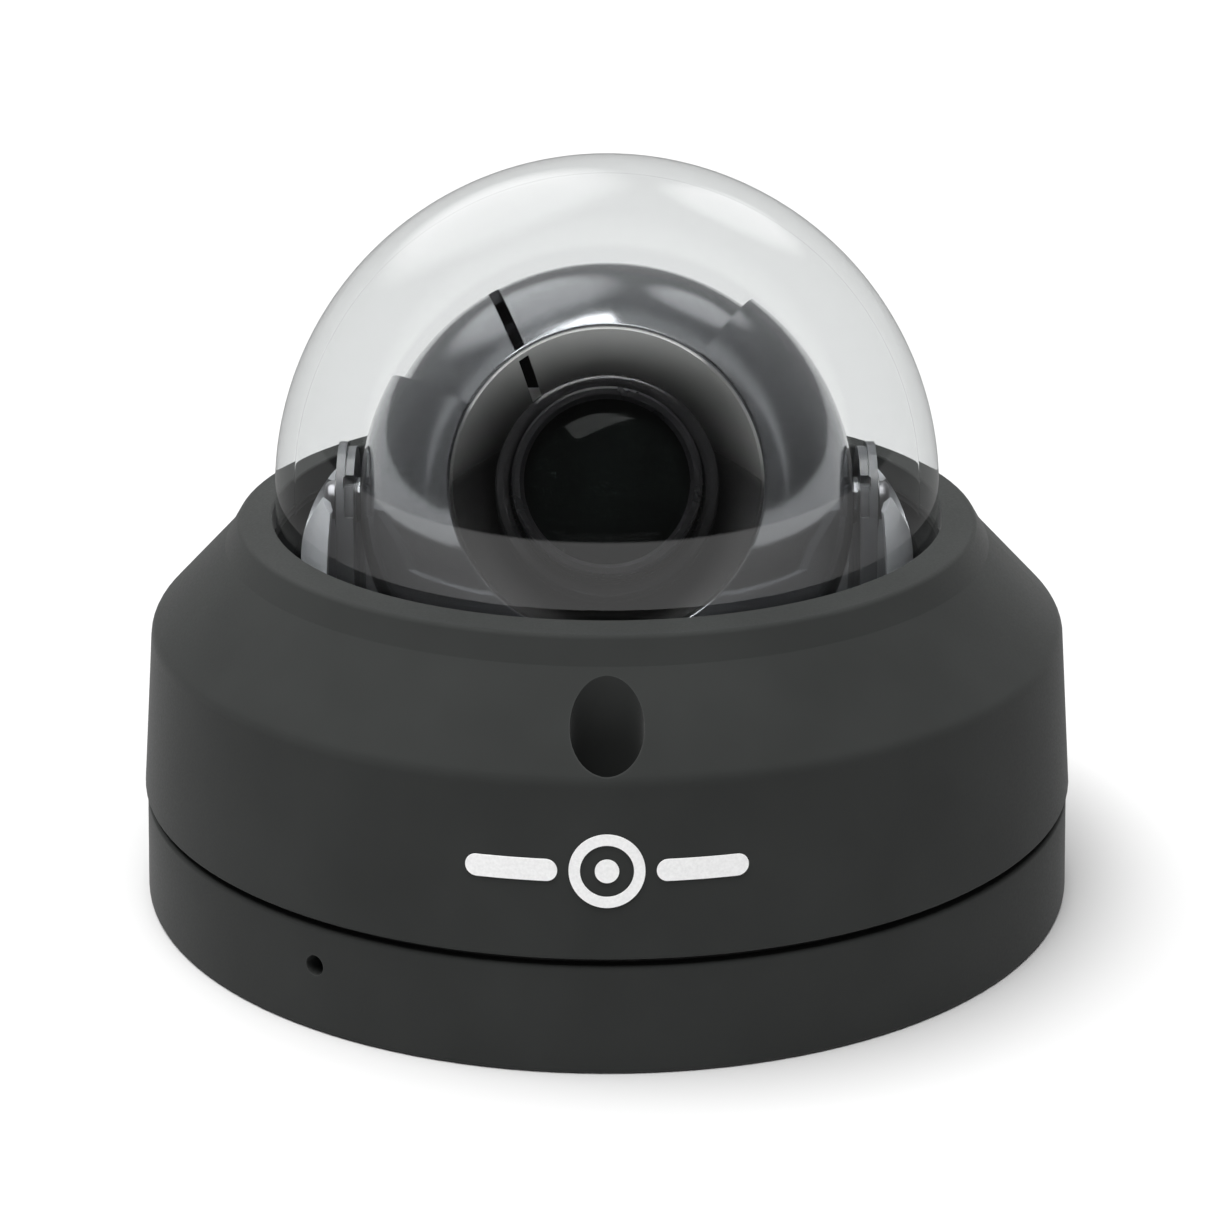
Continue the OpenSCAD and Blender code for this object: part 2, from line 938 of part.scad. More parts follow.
// Conical surround between the eyeball's opening and the lens
module lens_bezel() {
    rim_r = eye_r - 0.1;
    wall = 1.2;
    color([0.12, 0.12, 0.125])
        eyeball_frame()
            difference() {
                rotate_extrude($fn = 180)
                    polygon([[rim_r, cone_rim_w - 2.6], [rim_r, cone_rim_w + 0.1],
                             [rim_r - 0.5, cone_rim_w + 0.1], [cone_in_r, cone_in_w],
                             [13.6, cone_in_w], [13.6, 20], [12.3, 20], [12.3, 9.6],
                             [cone_in_r + wall, 9.6]]);
                lever_slot(cone_in_r - 0.4, 9, cone_rim_w - 0.9);
            }
}

module lens_mount() {
    color([0.1, 0.1, 0.105])
        eyeball_frame()
            difference() {
                union() {
                    block([-23.6, -14.6, shell_gap - plate_t], [23.6, 14.6, -shell_gap]);
                    block([-mount_x / 2, -mount_y / 2, mount_back],
                          [mount_x / 2, mount_y / 2, shell_gap - plate_t + eps]);
                }
                rod(8.05, -3, 5);
                rod(5, -8, 0);
                block([-6.5, -5.5, mount_back - 1], [6.5, 5.5, -7.6]);
                block([-12.4, -5.2, -7], [12.4, 5.2, -4.9]);
                for (y = [-gear_centres, gear_centres])
                    translate([0, y, 0])
                        rod(4.4, -20, 5);
                for (at = ball_boss_at)
                    translate(at)
                        rod(1.1, -20, 5);
                for (side = [-1, 1])
                    translate([side * 10.5, 0, 0])
                        rod(0.85, mount_back - 1, -7.4);
            }
}

module sensor_board() {
    color([0.05, 0.25, 0.12])
        eyeball_frame()
            difference() {
                intersection() {
                    block([-17, -15, mount_back - sensor_board_t], [17, 15, mount_back]);
                    rod(21, -20, 0);
                }
                for (side = [-1, 1])
                    translate([side * 10.5, 0, 0])
                        rod(1.1, -20, 5);
            }
}

module image_sensor() {
    color([0.25, 0.22, 0.3])
        eyeball_frame()
            difference() {
                block([-4.8, -4, mount_back], [4.8, 4, mount_back + 1.5]);
                block([-3.6, -2.6, mount_back + 1.2], [3.6, 2.6, mount_back + 3]);
            }
}

module sensor_screws() {
    color([0.7, 0.7, 0.72])
        eyeball_frame()
            for (side = [-1, 1])
                translate([side * 10.5, 0, mount_back - sensor_board_t])
                    rotate([180, 0, 0])
                        screw(1.8, 1.2, 0.8, 3.6, 0.8);
}

module lens_barrel() {
    color([0.06, 0.06, 0.06])
        eyeball_frame()
            rotate_extrude()
                polygon([[5.5, -2.6], [8, -2.6], [8, 0], [10.5, 0], [10.5, 8.9],
                         [barrel_r, 8.9], [barrel_r, barrel_front],
                         [glass_r + 0.05, barrel_front], [glass_r + 0.05, 20.5],
                         [9, 20.5], [9, 9], [5.5, 9]]);
}

// Convex lens between two distances along the lens axis
module convex_lens(r, w0, w1, front_r) {
    intersection() {
        rod(r, w0, w1);
        translate([0, 0, w1 - front_r])
            sphere(r = front_r, $fn = 128);
    }
}

module lens_front_element() {
    color([0.1, 0.12, 0.14, 0.5])
        eyeball_frame()
            convex_lens(glass_r, 20.55, barrel_front + 0.2, 26);
}

module lens_middle_element() {
    color([0.1, 0.12, 0.14, 0.5])
        eyeball_frame()
            convex_lens(8.95, 13, 16.5, 16);
}

module lens_rear_element() {
    color([0.1, 0.12, 0.14, 0.5])
        eyeball_frame()
            convex_lens(5.45, 1, 3.2, 10);
}

module lens_retaining_ring() {
    color([0.07, 0.07, 0.07])
        eyeball_frame()
            rotate_extrude()
                polygon([[glass_r - 0.4, barrel_front], [barrel_r, barrel_front],
                         [barrel_r, barrel_front + 0.5], [barrel_r - 0.3, barrel_front + 0.8],
                         [glass_r + 0.1, barrel_front + 0.8]]);
}

// Geared motor with its shaft hole facing the front
module lens_motor(side) {
    color([0.6, 0.6, 0.62])
        eyeball_frame()
            translate([0, side * gear_centres, 0])
                difference() {
                    union() {
                        rod(4, -9, -1.2);
                        rod(3.2, -1.2 - eps, 0.6);
                    }
                    rod(0.8, -6, 2);
                }
}

module focus_motor() {
    lens_motor(1);
}

module zoom_motor() {
    lens_motor(-1);
}

module ir_cut_actuator() {
    color([0.15, 0.15, 0.16])
        eyeball_frame()
            difference() {
                block([mount_x / 2 + 0.1, -3.2, -8.4], [mount_x / 2 + 5.6, 3.2, -3]);
                translate([mount_x / 2 + 2.8, 0, -3.8])
                    cylinder(r = 1.2, h = 2);
            }
}

module ir_cut_filter() {
    color([0.5, 0.2, 0.25])
        eyeball_frame()
            difference() {
                block([-4.3, -4.8, -6.5], [4.3 + filter_travel, 4.8, -5.3]);
                for (x = [0, filter_travel])
                    translate([x, 0, 0])
                        rod(3.1, -5.8, -5);
            }
}

module focus_ring() {
    color([0.14, 0.14, 0.14])
        eyeball_frame()
            translate([0, 0, focus_w])
                gear(ring_teeth, 10.5 + run_gap, gear_h, 90);
}

module zoom_ring() {
    color([0.14, 0.14, 0.14])
        eyeball_frame()
            translate([0, 0, zoom_w])
                gear(ring_teeth, 10.5 + run_gap, gear_h, -90);
}

// Pinion on its shaft, with a gap between teeth towards the ring
module lens_pinion(side, w) {
    color([0.85, 0.83, 0.75])
        eyeball_frame()
            translate([0, side * gear_centres, 0]) {
                translate([0, 0, w])
                    gear(pinion_teeth, 0.7, gear_h, 90 + 180 / pinion_teeth);
                rod(0.75, -5.6, w + gear_h);
            }
}

module focus_pinion() {
    lens_pinion(1, focus_w);
}

module zoom_pinion() {
    lens_pinion(-1, zoom_w);
}

base_casting();
base_gasket();
cable_gland();
side_exit_plug();
mic_boot();
microphone();
main_board();
soc_heatsink();
lan_transformer();
board_connectors();
sd_socket();
micro_sd_card();
reset_switch();
reset_button();
board_standoffs();
chassis_plate();
chassis_screws();
pan_retainer();
pan_friction_washer();
retainer_screws();
cover_housing();
dome_bubble();
dome_seal();
dome_clamp_ring();
clamp_screws();
cover_screws();
printed_mark();
turntable();
yoke_arm_left();
yoke_arm_right();
arm_screws();
inner_liner();
cradle_front();
cradle_rear();
cradle_screws();
pivot_washers();
pivot_screws();
ball_front_shell();
ball_rear_shell();
ball_screws();
lens_bezel();
lens_mount();
sensor_board();
image_sensor();
sensor_screws();
lens_barrel();
lens_front_element();
lens_retaining_ring();
lens_middle_element();
lens_rear_element();
zoom_motor();
focus_motor();
ir_cut_actuator();
ir_cut_filter();
zoom_ring();
focus_ring();
zoom_pinion();
focus_pinion();
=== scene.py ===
import json
import math

import bmesh
import bpy
from mathutils import Matrix, Vector


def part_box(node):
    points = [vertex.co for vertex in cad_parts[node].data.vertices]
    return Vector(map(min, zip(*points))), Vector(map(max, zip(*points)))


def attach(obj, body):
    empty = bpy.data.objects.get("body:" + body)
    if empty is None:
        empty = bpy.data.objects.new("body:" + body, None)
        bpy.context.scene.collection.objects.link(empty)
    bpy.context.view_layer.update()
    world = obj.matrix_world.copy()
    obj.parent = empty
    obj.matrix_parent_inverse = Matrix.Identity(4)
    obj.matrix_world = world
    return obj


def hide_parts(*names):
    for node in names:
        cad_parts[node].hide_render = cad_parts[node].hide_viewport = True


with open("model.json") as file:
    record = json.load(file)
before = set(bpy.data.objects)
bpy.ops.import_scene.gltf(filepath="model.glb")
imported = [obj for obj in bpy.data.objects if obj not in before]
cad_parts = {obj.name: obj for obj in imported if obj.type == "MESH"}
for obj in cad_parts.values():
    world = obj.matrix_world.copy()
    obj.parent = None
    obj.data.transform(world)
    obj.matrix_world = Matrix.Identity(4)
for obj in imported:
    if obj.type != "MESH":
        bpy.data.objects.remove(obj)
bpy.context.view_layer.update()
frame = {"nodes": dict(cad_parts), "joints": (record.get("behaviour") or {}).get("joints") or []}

MM = 0.001
ROUND_STEPS = 288
JOINTS = {joint["name"]: joint for joint in frame["joints"]}
EYE_CENTRE = Vector(JOINTS["lens_rotate"]["pos_m"])
EYE_AXIS = Vector(JOINTS["lens_rotate"]["axis"])
ROW = Matrix.Identity(4)


def eye_matrix():
    """The eyeball's own frame: Z along the lens, X as in the row frame."""
    across = Vector((1, 0, 0))
    up = EYE_AXIS.cross(across)
    turn = Matrix((across, up, EYE_AXIS)).transposed().to_4x4()
    return Matrix.Translation(EYE_CENTRE) @ turn


EYE = eye_matrix()


# ---- Camera, floor and light ----

CAMERA_PLACE = (0, -0.3959, 0.1778)
CAMERA_TILT = 70.31
CAMERA_LENS = 95.4
SENSOR_WIDTH = 36
FLOOR_SIZE = 14
FLOOR_WHITE = 0.56
OVERHEAD_PLACE = (-1.9, -0.75, 12)
OVERHEAD_TARGET = (0, 0, 0.05)
OVERHEAD_SIZE = (12.8, 9.8)
OVERHEAD_POWER = 3500

# The room's light on dull surfaces, and then what shiny surfaces mirror. Each ramp over the
# direction's Y is (start, end, strength at start, strength at end). The bar is over Y / Z, and each
# panel is (azimuth, elevation, inner radius, outer radius, strength), in degrees.
ROOM_LIGHT = 0.16
BACKDROP = 1.0
ROOM_MIRRORED = (0.2, 0.95, 0.06, 0.4)
FLOOR_MIRRORED = (-0.9, 0.7, 1.8, 0.3)
HORIZON = (-0.03, -0.01)
BAR_LIGHT = 1.1
BAR_NEAR = (0.24, 0.34)
BAR_FAR = (0.3, 0.75)
BAR_LOWEST_Z = 0.05
PANELS = ((-22, 35, 12, 24, 1.6), (24, 32, 6, 14, 1.6))


def make_camera():
    data = bpy.data.cameras.new("camera")
    data.lens = CAMERA_LENS
    data.sensor_width = SENSOR_WIDTH
    camera = bpy.data.objects.new("camera", data)
    camera.location = CAMERA_PLACE
    camera.rotation_euler = (math.radians(CAMERA_TILT), 0, 0)
    bpy.context.scene.collection.objects.link(camera)
    bpy.context.scene.camera = camera


def make_floor():
    """A pale floor that shiny surfaces don't mirror: make_room gives them its reflection."""
    bpy.ops.mesh.primitive_plane_add(size=FLOOR_SIZE)
    floor = bpy.context.object
    floor.name = "floor"
    finish = bpy.data.materials.new("pale_floor")
    finish.use_nodes = True
    shader = finish.node_tree.nodes["Principled BSDF"]
    shader.inputs["Base Color"].default_value = (FLOOR_WHITE, FLOOR_WHITE, FLOOR_WHITE, 1)
    shader.inputs["Roughness"].default_value = 0.9
    shader.inputs["Specular IOR Level"].default_value = 0
    floor.data.materials.append(finish)
    floor.visible_glossy = False


class Nodes:
    """A node tree, and a short way to add a node to it."""

    def node(self, kind, **values):
        made = self.tree.nodes.new(kind)
        for name, value in values.items():
            setattr(made, name, value)
        return made


class Sky(Nodes):
    """The world's nodes, with short ways to add and link them."""

    def __init__(self):
        world = bpy.data.worlds.new("studio")
        bpy.context.scene.world = world
        world.use_nodes = True
        self.tree = world.node_tree
        self.tree.nodes.clear()
        self.out = self.node("ShaderNodeOutputWorld")
        self.ray = self.node("ShaderNodeLightPath").outputs
        self.way = self.node("ShaderNodeTexCoord").outputs["Generated"]
        parts = self.node("ShaderNodeSeparateXYZ")
        self.feed(parts.inputs[0], self.way)
        self.y = parts.outputs["Y"]
        self.z = parts.outputs["Z"]

    def feed(self, socket, value):
        if isinstance(value, (int, float, tuple)):
            socket.default_value = value
        else:
            self.tree.links.new(value, socket)

    def compute(self, operation, *values):
        made = self.node("ShaderNodeMath", operation=operation)
        for socket, value in zip(made.inputs, values):
            self.feed(socket, value)
        return made.outputs[0]

    def ramp(self, value, start, end, low, high):
        """Value, taken smoothly from start..end to low..high."""
        made = self.node("ShaderNodeMapRange", interpolation_type="SMOOTHSTEP")
        for socket, number in zip(made.inputs[1:5], (start, end, low, high)):
            socket.default_value = number
        self.feed(made.inputs["Value"], value)
        return made.outputs[0]

    def panel(self, azimuth, elevation, inner, outer, strength):
        """A round soft light in one direction, full inside inner degrees, none past outer."""
        turn, rise = math.radians(azimuth), math.radians(elevation)
        middle = (math.cos(rise) * math.sin(turn), math.cos(rise) * math.cos(turn), math.sin(rise))
        made = self.node("ShaderNodeVectorMath", operation="DOT_PRODUCT")
        self.feed(made.inputs[0], self.way)
        self.feed(made.inputs[1], middle)
        edges = math.cos(math.radians(outer)), math.cos(math.radians(inner))
        return self.ramp(made.outputs["Value"], *edges, 0, strength)

    def background(self, strength):
        made = self.node("ShaderNodeBackground")
        self.feed(made.inputs["Strength"], strength)
        return made.outputs[0]

    def mix(self, share, first, second):
        made = self.node("ShaderNodeMixShader")
        for socket, value in zip(made.inputs, (share, first, second)):
            self.feed(socket, value)
        return made.outputs[0]

    def mirrored(self):
        """What a shiny surface mirrors, by direction: a dim room with a bar and panels of light
        above the horizon, and a pale floor below it."""
        lean = self.compute("DIVIDE", self.y, self.compute("MAXIMUM", self.z, BAR_LOWEST_Z))
        near = self.ramp(lean, *BAR_NEAR, 0, BAR_LIGHT)
        bar = self.compute("MULTIPLY", near, self.ramp(lean, *BAR_FAR, 1, 0))
        above = self.compute("ADD", self.ramp(self.y, *ROOM_MIRRORED), bar)
        for values in PANELS:
            above = self.compute("ADD", above, self.panel(*values))
        over = self.ramp(self.z, *HORIZON, 0, 1)
        under = self.compute("SUBTRACT", 1.0, over)
        below = self.compute("MULTIPLY", self.ramp(self.y, *FLOOR_MIRRORED), under)
        return self.compute("ADD", self.compute("MULTIPLY", above, over), below)


def make_room():
    """A white backdrop for the eye, soft light for dull surfaces, and a room for shiny ones."""
    sky = Sky()
    seen = sky.mirrored()
    sharp = sky.compute("LESS_THAN", sky.ray["Diffuse Depth"], 0.5)
    glossy = sky.compute("GREATER_THAN", sky.ray["Glossy Depth"], 0.5)
    reflected = sky.compute("MULTIPLY", glossy, sharp)
    straight = sky.compute("SUBTRACT", sharp, reflected)
    lit = sky.mix(reflected, sky.background(ROOM_LIGHT), sky.background(seen))
    sky.feed(sky.out.inputs["Surface"], sky.mix(straight, lit, sky.background(BACKDROP)))


def light_studio():
    """One large soft lamp, high above and slightly to the left, that nothing mirrors."""
    data = bpy.data.lights.new("overhead", "AREA")
    data.shape = "RECTANGLE"
    data.size, data.size_y = OVERHEAD_SIZE
    data.energy = OVERHEAD_POWER
    lamp = bpy.data.objects.new("overhead", data)
    lamp.location = OVERHEAD_PLACE
    aim = Vector(OVERHEAD_TARGET) - Vector(OVERHEAD_PLACE)
    lamp.rotation_euler = aim.to_track_quat("-Z", "Y").to_euler()
    lamp.visible_camera = False
    lamp.visible_glossy = False
    bpy.context.scene.collection.objects.link(lamp)


# ---- Materials ----


SHARP_EDGE_DOT = 0.86
FLAT_FACE_DOT = 0.99


class Finish(Nodes):
    """A material on one Principled shader, with textures placed in the object's own space."""

    def __init__(self, name, colour, roughness, **values):
        self.material = bpy.data.materials.new(name)
        self.material.use_nodes = True
        self.tree = self.material.node_tree
        self.shader = self.tree.nodes["Principled BSDF"]
        self.out = self.tree.nodes["Material Output"]
        self.place = self.node("ShaderNodeTexCoord").outputs["Object"]
        self.shader.inputs["Base Color"].default_value = (*colour, 1)
        self.shader.inputs["Roughness"].default_value = roughness
        for socket, value in values.items():
            self.shader.inputs[socket.replace("_", " ")].default_value = value

    def link(self, source, target):
        self.tree.links.new(source, target)

    def noise(self, grain, detail=3.0, stretch=(1, 1, 1)):
        """Noise from 0 to 1 with features about grain metres across."""
        mapping = self.node("ShaderNodeMapping")
        mapping.inputs["Scale"].default_value = stretch
        self.link(self.place, mapping.inputs["Vector"])
        made = self.node("ShaderNodeTexNoise")
        made.inputs["Scale"].default_value = 1 / grain
        made.inputs["Detail"].default_value = detail
        self.link(mapping.outputs[0], made.inputs["Vector"])
        return made.outputs["Fac"]

    def spread(self, value, low, high, start=0.3, end=0.7):
        """Value, taken from start..end to low..high."""
        made = self.node("ShaderNodeMapRange")
        made.inputs["From Min"].default_value = start
        made.inputs["From Max"].default_value = end
        made.inputs["To Min"].default_value = low
        made.inputs["To Max"].default_value = high
        self.link(value, made.inputs["Value"])
        return made.outputs[0]

    def tint(self, value, dark, bright, base=None):
        """Base colour mixed from dark to bright by value."""
        made = self.node("ShaderNodeMix", data_type="RGBA")
        made.inputs["A"].default_value = (*dark, 1)
        made.inputs["B"].default_value = (*bright, 1)
        if base is not None:
            self.link(base, made.inputs["A"])
        self.link(value, made.inputs["Factor"])
        self.link(made.outputs["Result"], self.shader.inputs["Base Color"])
        return made.outputs["Result"]

    def rough(self, value, low, high):
        self.link(self.spread(value, low, high), self.shader.inputs["Roughness"])

    def bump(self, *layers):
        """Layers of (height, strength, depth in metres), one on the other."""
        normal = None
        for height, strength, depth in layers:
            made = self.node("ShaderNodeBump")
            made.inputs["Strength"].default_value = strength
            made.inputs["Distance"].default_value = depth
            self.link(height, made.inputs["Height"])
            if normal is not None:
                self.link(normal, made.inputs["Normal"])
            normal = made.outputs[0]
        self.link(normal, self.shader.inputs["Normal"])

    def edges(self, width):
        """1 on edges that are tighter than width, and 0 elsewhere."""
        soft = self.node("ShaderNodeBevel", samples=4)
        soft.inputs["Radius"].default_value = width
        sharp = self.node("ShaderNodeNewGeometry")
        dot = self.node("ShaderNodeVectorMath", operation="DOT_PRODUCT")
        self.link(soft.outputs[0], dot.inputs[0])
        self.link(sharp.outputs["Normal"], dot.inputs[1])
        return self.spread(dot.outputs["Value"], 1, 0, SHARP_EDGE_DOT, FLAT_FACE_DOT)


def scaled(colour, by):
    return tuple(channel * by for channel in colour)


def powder_coat():
    """Fine powder coat on die-cast aluminium, a little paler along its sharp edges."""
    grey = (0.0292, 0.0307, 0.0299)
    made = Finish("charcoal_powder_coat", grey, 0.55, Specular_IOR_Level=0.06,
                  Sheen_Weight=0.08, Sheen_Roughness=0.4)
    patches = made.noise(14 * MM, 2)
    grain = made.noise(0.32 * MM, 4)
    peel = made.noise(1.3 * MM, 2)
    base = made.tint(made.spread(patches, 0, 1), scaled(grey, 0.93), scaled(grey, 1.07))
    made.tint(made.spread(made.edges(0.25 * MM), 0, 0.5, 0, 1), grey, scaled(grey, 1.9), base)
    made.rough(grain, 0.46, 0.6)
    made.bump((peel, 0.25, 0.02 * MM), (grain, 0.35, 0.012 * MM))
    return made.material


def moulded(name, colour, low, high, **values):
    """Injection-moulded plastic with faint flow marks and a slight sheen."""
    made = Finish(name, colour, low, **values)
    flow = made.noise(9 * MM, 2, (1, 1, 0.35))
    fine = made.noise(0.25 * MM, 3)
    made.tint(made.spread(flow, 0, 1), scaled(colour, 0.94), scaled(colour, 1.06))
    made.rough(made.noise(4 * MM, 3), low, high)
    made.bump((flow, 0.25, 0.02 * MM), (fine, 0.25, 0.0012 * MM))
    return made.material


def silver_with_painted_light():
    """Silver paint in the bezel's cone, with painted light: pale at the cone's top and black over
    its lower half, standing in for reflected floor light and shade.
    """
    made = Finish("silver_gloss", (0.45, 0.45, 0.45), 0.25, Metallic=0.35)
    low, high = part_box("lens_bezel")
    parts = made.node("ShaderNodeSeparateXYZ")
    made.link(made.place, parts.inputs[0])
    # Painted reflection and shade: black up to the cone's middle height, ramping to pale silver at
    # its top.
    painted_top_light = made.spread(parts.outputs["Z"], 0, 1, 0.5 * (low.z + high.z), high.z)
    made.tint(painted_top_light, (0.03, 0.03, 0.03), (0.9, 0.9, 0.88))
    made.rough(made.noise(4 * MM, 3), 0.2, 0.26)
    made.bump((made.noise(9 * MM, 2, (1, 1, 0.35)), 0.25, 0.02 * MM))
    return made.material


def dusty_rubber():
    colour = (0.012, 0.012, 0.012)
    made = Finish("black_rubber_moulded", colour, 0.75, Specular_IOR_Level=0.3)
    dust = made.noise(2.5 * MM, 5)
    made.tint(made.spread(dust, 0, 1, 0.45, 0.75), colour, scaled(colour, 2.2))
    made.rough(dust, 0.65, 0.85)
    made.bump((made.noise(0.4 * MM, 3), 0.3, 0.02 * MM))
    return made.material


def metal(name, colour, low, high, stretch=(1, 1, 1)):
    """Bare or plated metal with fine tool marks along one direction."""
    made = Finish(name, colour, low, Metallic=1)
    marks = made.noise(0.12 * MM, 3, stretch)
    cloud = made.noise(5 * MM, 3)
    made.tint(made.spread(cloud, 0, 1), scaled(colour, 0.88), scaled(colour, 1.05))
    made.rough(cloud, low, high)
    made.bump((marks, 0.15, 0.006 * MM))
    return made.material


def clear_polycarbonate(name, tint, shiny):
    """Clear plastic that lets lamps through, and that may shine where a ray enters it."""
    made = Finish(name, tint, 0, Transmission_Weight=1, IOR=1.001)
    made.shader.inputs["Coat Roughness"].default_value = 0
    made.shader.inputs["Coat IOR"].default_value = 1.5
    if shiny:
        leaving = made.node("ShaderNodeNewGeometry").outputs["Backfacing"]
        made.link(made.spread(leaving, 1, 0, 0, 1), made.shader.inputs["Coat Weight"])
    through = made.node("ShaderNodeBsdfTransparent")
    through.inputs[0].default_value = (*(channel ** 0.5 for channel in tint), 1)
    ray = made.node("ShaderNodeLightPath")
    mix = made.node("ShaderNodeMixShader")
    made.link(ray.outputs["Is Shadow Ray"], mix.inputs[0])
    made.link(made.shader.outputs[0], mix.inputs[1])
    made.link(through.outputs[0], mix.inputs[2])
    made.link(mix.outputs[0], made.out.inputs["Surface"])
    return made.material


def coated_glass(name, tint):
    """Lens glass that its coating makes nearly black, and that varies a little."""
    made = Finish(name, tint, 0.03, Specular_IOR_Level=0.05)
    film = made.noise(7 * MM, 1)
    made.tint(made.spread(film, 0, 1), scaled(tint, 0.6), scaled(tint, 1.6))
    made.rough(film, 0.02, 0.05)
    return made.material


def board_green():
    made = Finish("solder_mask", (0.012, 0.09, 0.035), 0.35, Coat_Weight=0.4)
    weave = made.noise(0.9 * MM, 2)
    tracks = made.node("ShaderNodeTexBrick")
    tracks.inputs["Scale"].default_value = 260
    tracks.inputs["Mortar Size"].default_value = 0.06
    made.link(made.place, tracks.inputs["Vector"])
    made.tint(tracks.outputs["Fac"], (0.01, 0.08, 0.03), (0.02, 0.14, 0.055))
    made.rough(weave, 0.28, 0.42)
    made.bump((tracks.outputs["Fac"], 0.3, 0.03 * MM))
    return made.material


def printed_white():
    made = Finish("white_print", (0.86, 0.86, 0.86), 0.42)
    ink = made.noise(0.35 * MM, 4)
    made.tint(made.spread(ink, 0, 1), (0.8, 0.8, 0.8), (0.9, 0.9, 0.9))
    made.rough(ink, 0.36, 0.5)
    made.bump((ink, 0.25, 0.01 * MM))
    return made.material


MATERIALS = {
    "charcoal_casting": powder_coat(),
    "black_rubber": dusty_rubber(),
    "clear_polycarbonate": clear_polycarbonate("clear_polycarbonate", (0.705, 0.72, 0.72), True),
    "black_plastic": moulded("black_moulded", (0.01, 0.01, 0.0105), 0.14, 0.22),
    "grey_gloss_plastic": moulded(
        "grey_gloss", (0.22, 0.225, 0.235), 0.1, 0.14, Metallic=0.86),
    "silver_gloss_plastic": silver_with_painted_light(),
    "grey_liner_plastic": moulded("grey_liner", (0.2, 0.205, 0.215), 0.3, 0.4),
    "dark_bracket": moulded("dark_bracket", (0.05, 0.052, 0.055), 0.28, 0.38),
    "board_green": board_green(),
    "bare_aluminium": metal("milled_aluminium", (0.72, 0.73, 0.74), 0.28, 0.42, (1, 12, 1)),
    "tinned_steel": metal("tinned_steel_sheet", (0.62, 0.63, 0.64), 0.22, 0.38, (8, 1, 1)),
    "screw_steel": metal("zinc_screw_steel", (0.66, 0.66, 0.67), 0.2, 0.35),
    "security_screw_steel": metal("dark_screw_steel", (0.2, 0.2, 0.21), 0.3, 0.45),
    "brass_parts": metal("turned_brass", (0.75, 0.55, 0.25), 0.2, 0.34, (1, 1, 10)),
    "nylon_white": moulded("nylon_natural", (0.75, 0.73, 0.66), 0.4, 0.55),
    "red_plastic": moulded("red_button", (0.45, 0.03, 0.02), 0.3, 0.4),
    "white_print": printed_white(),
    "black_anodised": moulded(
        "black_anodised_lens", (0.006, 0.006, 0.0065), 0.24, 0.36, Specular_IOR_Level=0.25),
    "coated_glass": coated_glass("lens_glass", (0.0015, 0.002, 0.0018)),
    "sensor_chip": moulded("sensor_die", (0.05, 0.04, 0.07), 0.12, 0.2),
    "filter_glass": coated_glass("cut_filter_glass", (0.03, 0.09, 0.1)),
}
INNER_FACE = clear_polycarbonate("clear_polycarbonate_inside", (0.99, 0.99, 0.99), False)


# ---- Mesh helpers ----


def new_piece(name, bm, slot, body, *nodes):
    """A piece from a bmesh in metres, which rides on body and stands for the CAD nodes."""
    mesh = bpy.data.meshes.new(name)
    bm.normal_update()
    bm.to_mesh(mesh)
    bm.free()
    mesh.shade_smooth()
    piece = bpy.data.objects.new(name, mesh)
    bpy.context.scene.collection.objects.link(piece)
    mesh.materials.append(MATERIALS[slot])
    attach(piece, body)
    if nodes:
        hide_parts(*nodes)
    return piece


def arc(centre, radius, start, end, steps):
    """Points (r, z) on an arc between two angles in degrees."""
    turns = [math.radians(start + (end - start) * i / steps) for i in range(steps + 1)]
    return [(centre[0] + radius * math.cos(t), centre[1] + radius * math.sin(t)) for t in turns]


def lathe(section, matrix=ROW):
    """A closed section of (r, z) points, turned round Z."""
    bm = bmesh.new()
    rings = []
    for i in range(ROUND_STEPS):
        angle = 2 * math.pi * i / ROUND_STEPS
        turn = Vector((math.cos(angle), math.sin(angle)))
        rings.append([])
        for r, z in section:
            if r == 0:
                if i == 0:
                    rings[0].append(bm.verts.new(matrix @ Vector((0, 0, z))))
                else:
                    rings[i].append(rings[0][len(rings[i])])
            else:
                rings[i].append(bm.verts.new(matrix @ Vector((r * turn.x, r * turn.y, z))))
    count = len(section)
    for i in range(ROUND_STEPS):
        near, far = rings[i], rings[(i + 1) % ROUND_STEPS]
        for k in range(count):
            following = (k + 1) % count
            corners = [near[k], far[k], far[following], near[following]]
            face = list(dict.fromkeys(corners))
            if len(face) > 2:
                bm.faces.new(face)
    bmesh.ops.recalc_face_normals(bm, faces=bm.faces)
    return bm


# ---- Bubble ----

BUBBLE_RADIUS = 42.6 * MM
BUBBLE_WALL = 2.5 * MM
BUBBLE_LIP = 0.25 * MM
BUBBLE_ROOT = 0.8 * MM
BUBBLE_STEPS = 96
ROOT_STEPS = 6


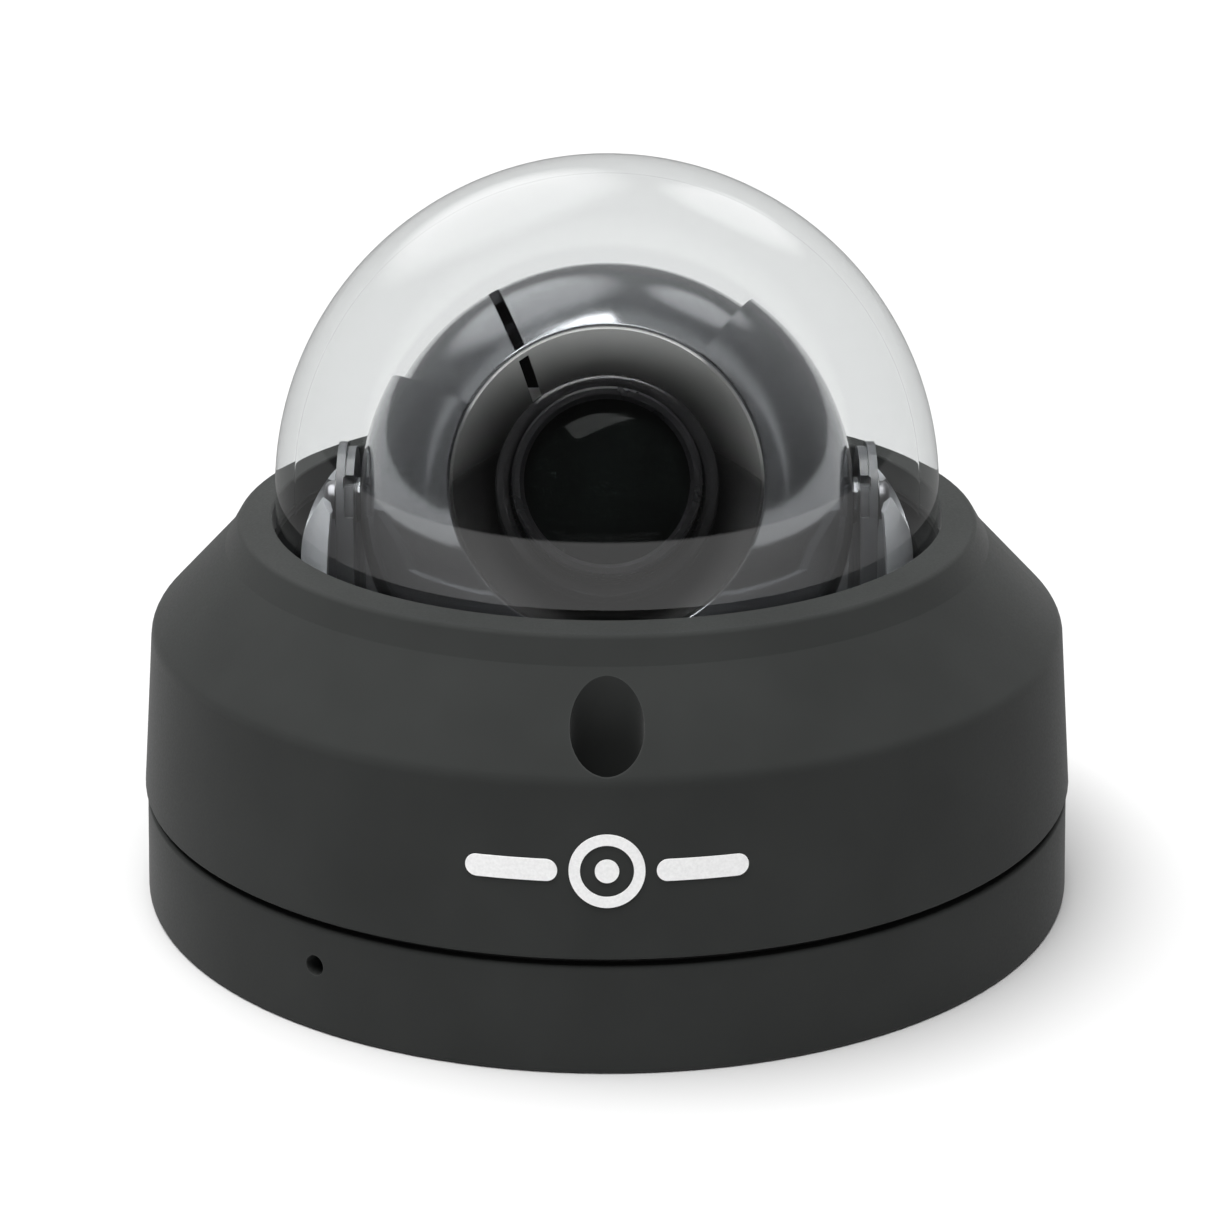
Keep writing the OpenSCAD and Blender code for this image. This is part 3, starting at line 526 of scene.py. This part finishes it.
def make_bubble():
    """Blown bubble with an even wall, on a turned flange."""
    low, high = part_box("dome_bubble")
    flange_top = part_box("dome_seal")[0].z
    centre = (0, high.z - BUBBLE_RADIUS)
    inner = BUBBLE_RADIUS - BUBBLE_WALL
    root = (BUBBLE_RADIUS + BUBBLE_ROOT, flange_top + BUBBLE_ROOT)
    section = [(high.x - BUBBLE_LIP, low.z), (high.x, low.z + BUBBLE_LIP)]
    section += [(high.x, flange_top - BUBBLE_LIP), (high.x - BUBBLE_LIP, flange_top)]
    section += arc(root, BUBBLE_ROOT, 270, 180, ROOT_STEPS)
    section += arc(centre, BUBBLE_RADIUS, 0, 90, BUBBLE_STEPS)[:-1] + [(0, high.z)]
    section += [(0, high.z - BUBBLE_WALL)] + arc(centre, inner, 90, 0, BUBBLE_STEPS)[1:]
    section += [(inner, low.z + BUBBLE_LIP), (inner + BUBBLE_LIP, low.z)]
    bubble = new_piece("bubble", lathe(section), "clear_polycarbonate", "cover", "dome_bubble")
    bubble.data.materials.append(INNER_FACE)
    middle = Vector((0, 0, centre[1]))
    for face in bubble.data.polygons:
        face.material_index = int(face.normal.dot(face.center - middle) < 0)


# ---- Eyeball trim: radii from the lens axis and heights from the eyeball's centre, in metres ----

BEAD_RADIUS = 0.22 * MM
BEAD_CENTRE = (19.4 * MM, 23.62 * MM)
BEAD_STEPS = 14
BEAD_END = 350
BAFFLE_INNER = 12.1 * MM
BAFFLE_OUTER = 13.75 * MM
BAFFLE_BACK = 9.9 * MM
BAFFLE_FRONT = 20.15 * MM
BAFFLE_CHAMFER = 0.25 * MM


def make_eyeball_trim():
    """The bright bead where the eyeball meets its bezel, and the black baffle round the lens."""
    bead = arc(BEAD_CENTRE, BEAD_RADIUS, 0, BEAD_END, BEAD_STEPS)
    new_piece("bezel_bead", lathe(bead, matrix=EYE), "grey_gloss_plastic", "eyeball")
    shoulder = BAFFLE_FRONT - BAFFLE_CHAMFER
    baffle = [(BAFFLE_INNER, BAFFLE_BACK), (BAFFLE_OUTER, BAFFLE_BACK), (BAFFLE_OUTER, shoulder),
              (BAFFLE_OUTER - BAFFLE_CHAMFER, BAFFLE_FRONT),
              (BAFFLE_INNER + BAFFLE_CHAMFER, BAFFLE_FRONT), (BAFFLE_INNER, shoulder)]
    new_piece("lens_baffle", lathe(baffle, matrix=EYE), "black_plastic", "eyeball")


# ---- CAD nodes that stay ----


def finish_cad_nodes():
    """Gives each CAD node the finish that its record's material slot names."""
    for node in frame["nodes"].values():
        for slot in node.material_slots:
            slot.material = MATERIALS[slot.material.name]


make_camera()
make_floor()
make_room()
light_studio()
make_bubble()
make_eyeball_trim()
finish_cad_nodes()

bpy.context.scene.view_settings.view_transform = "Standard"
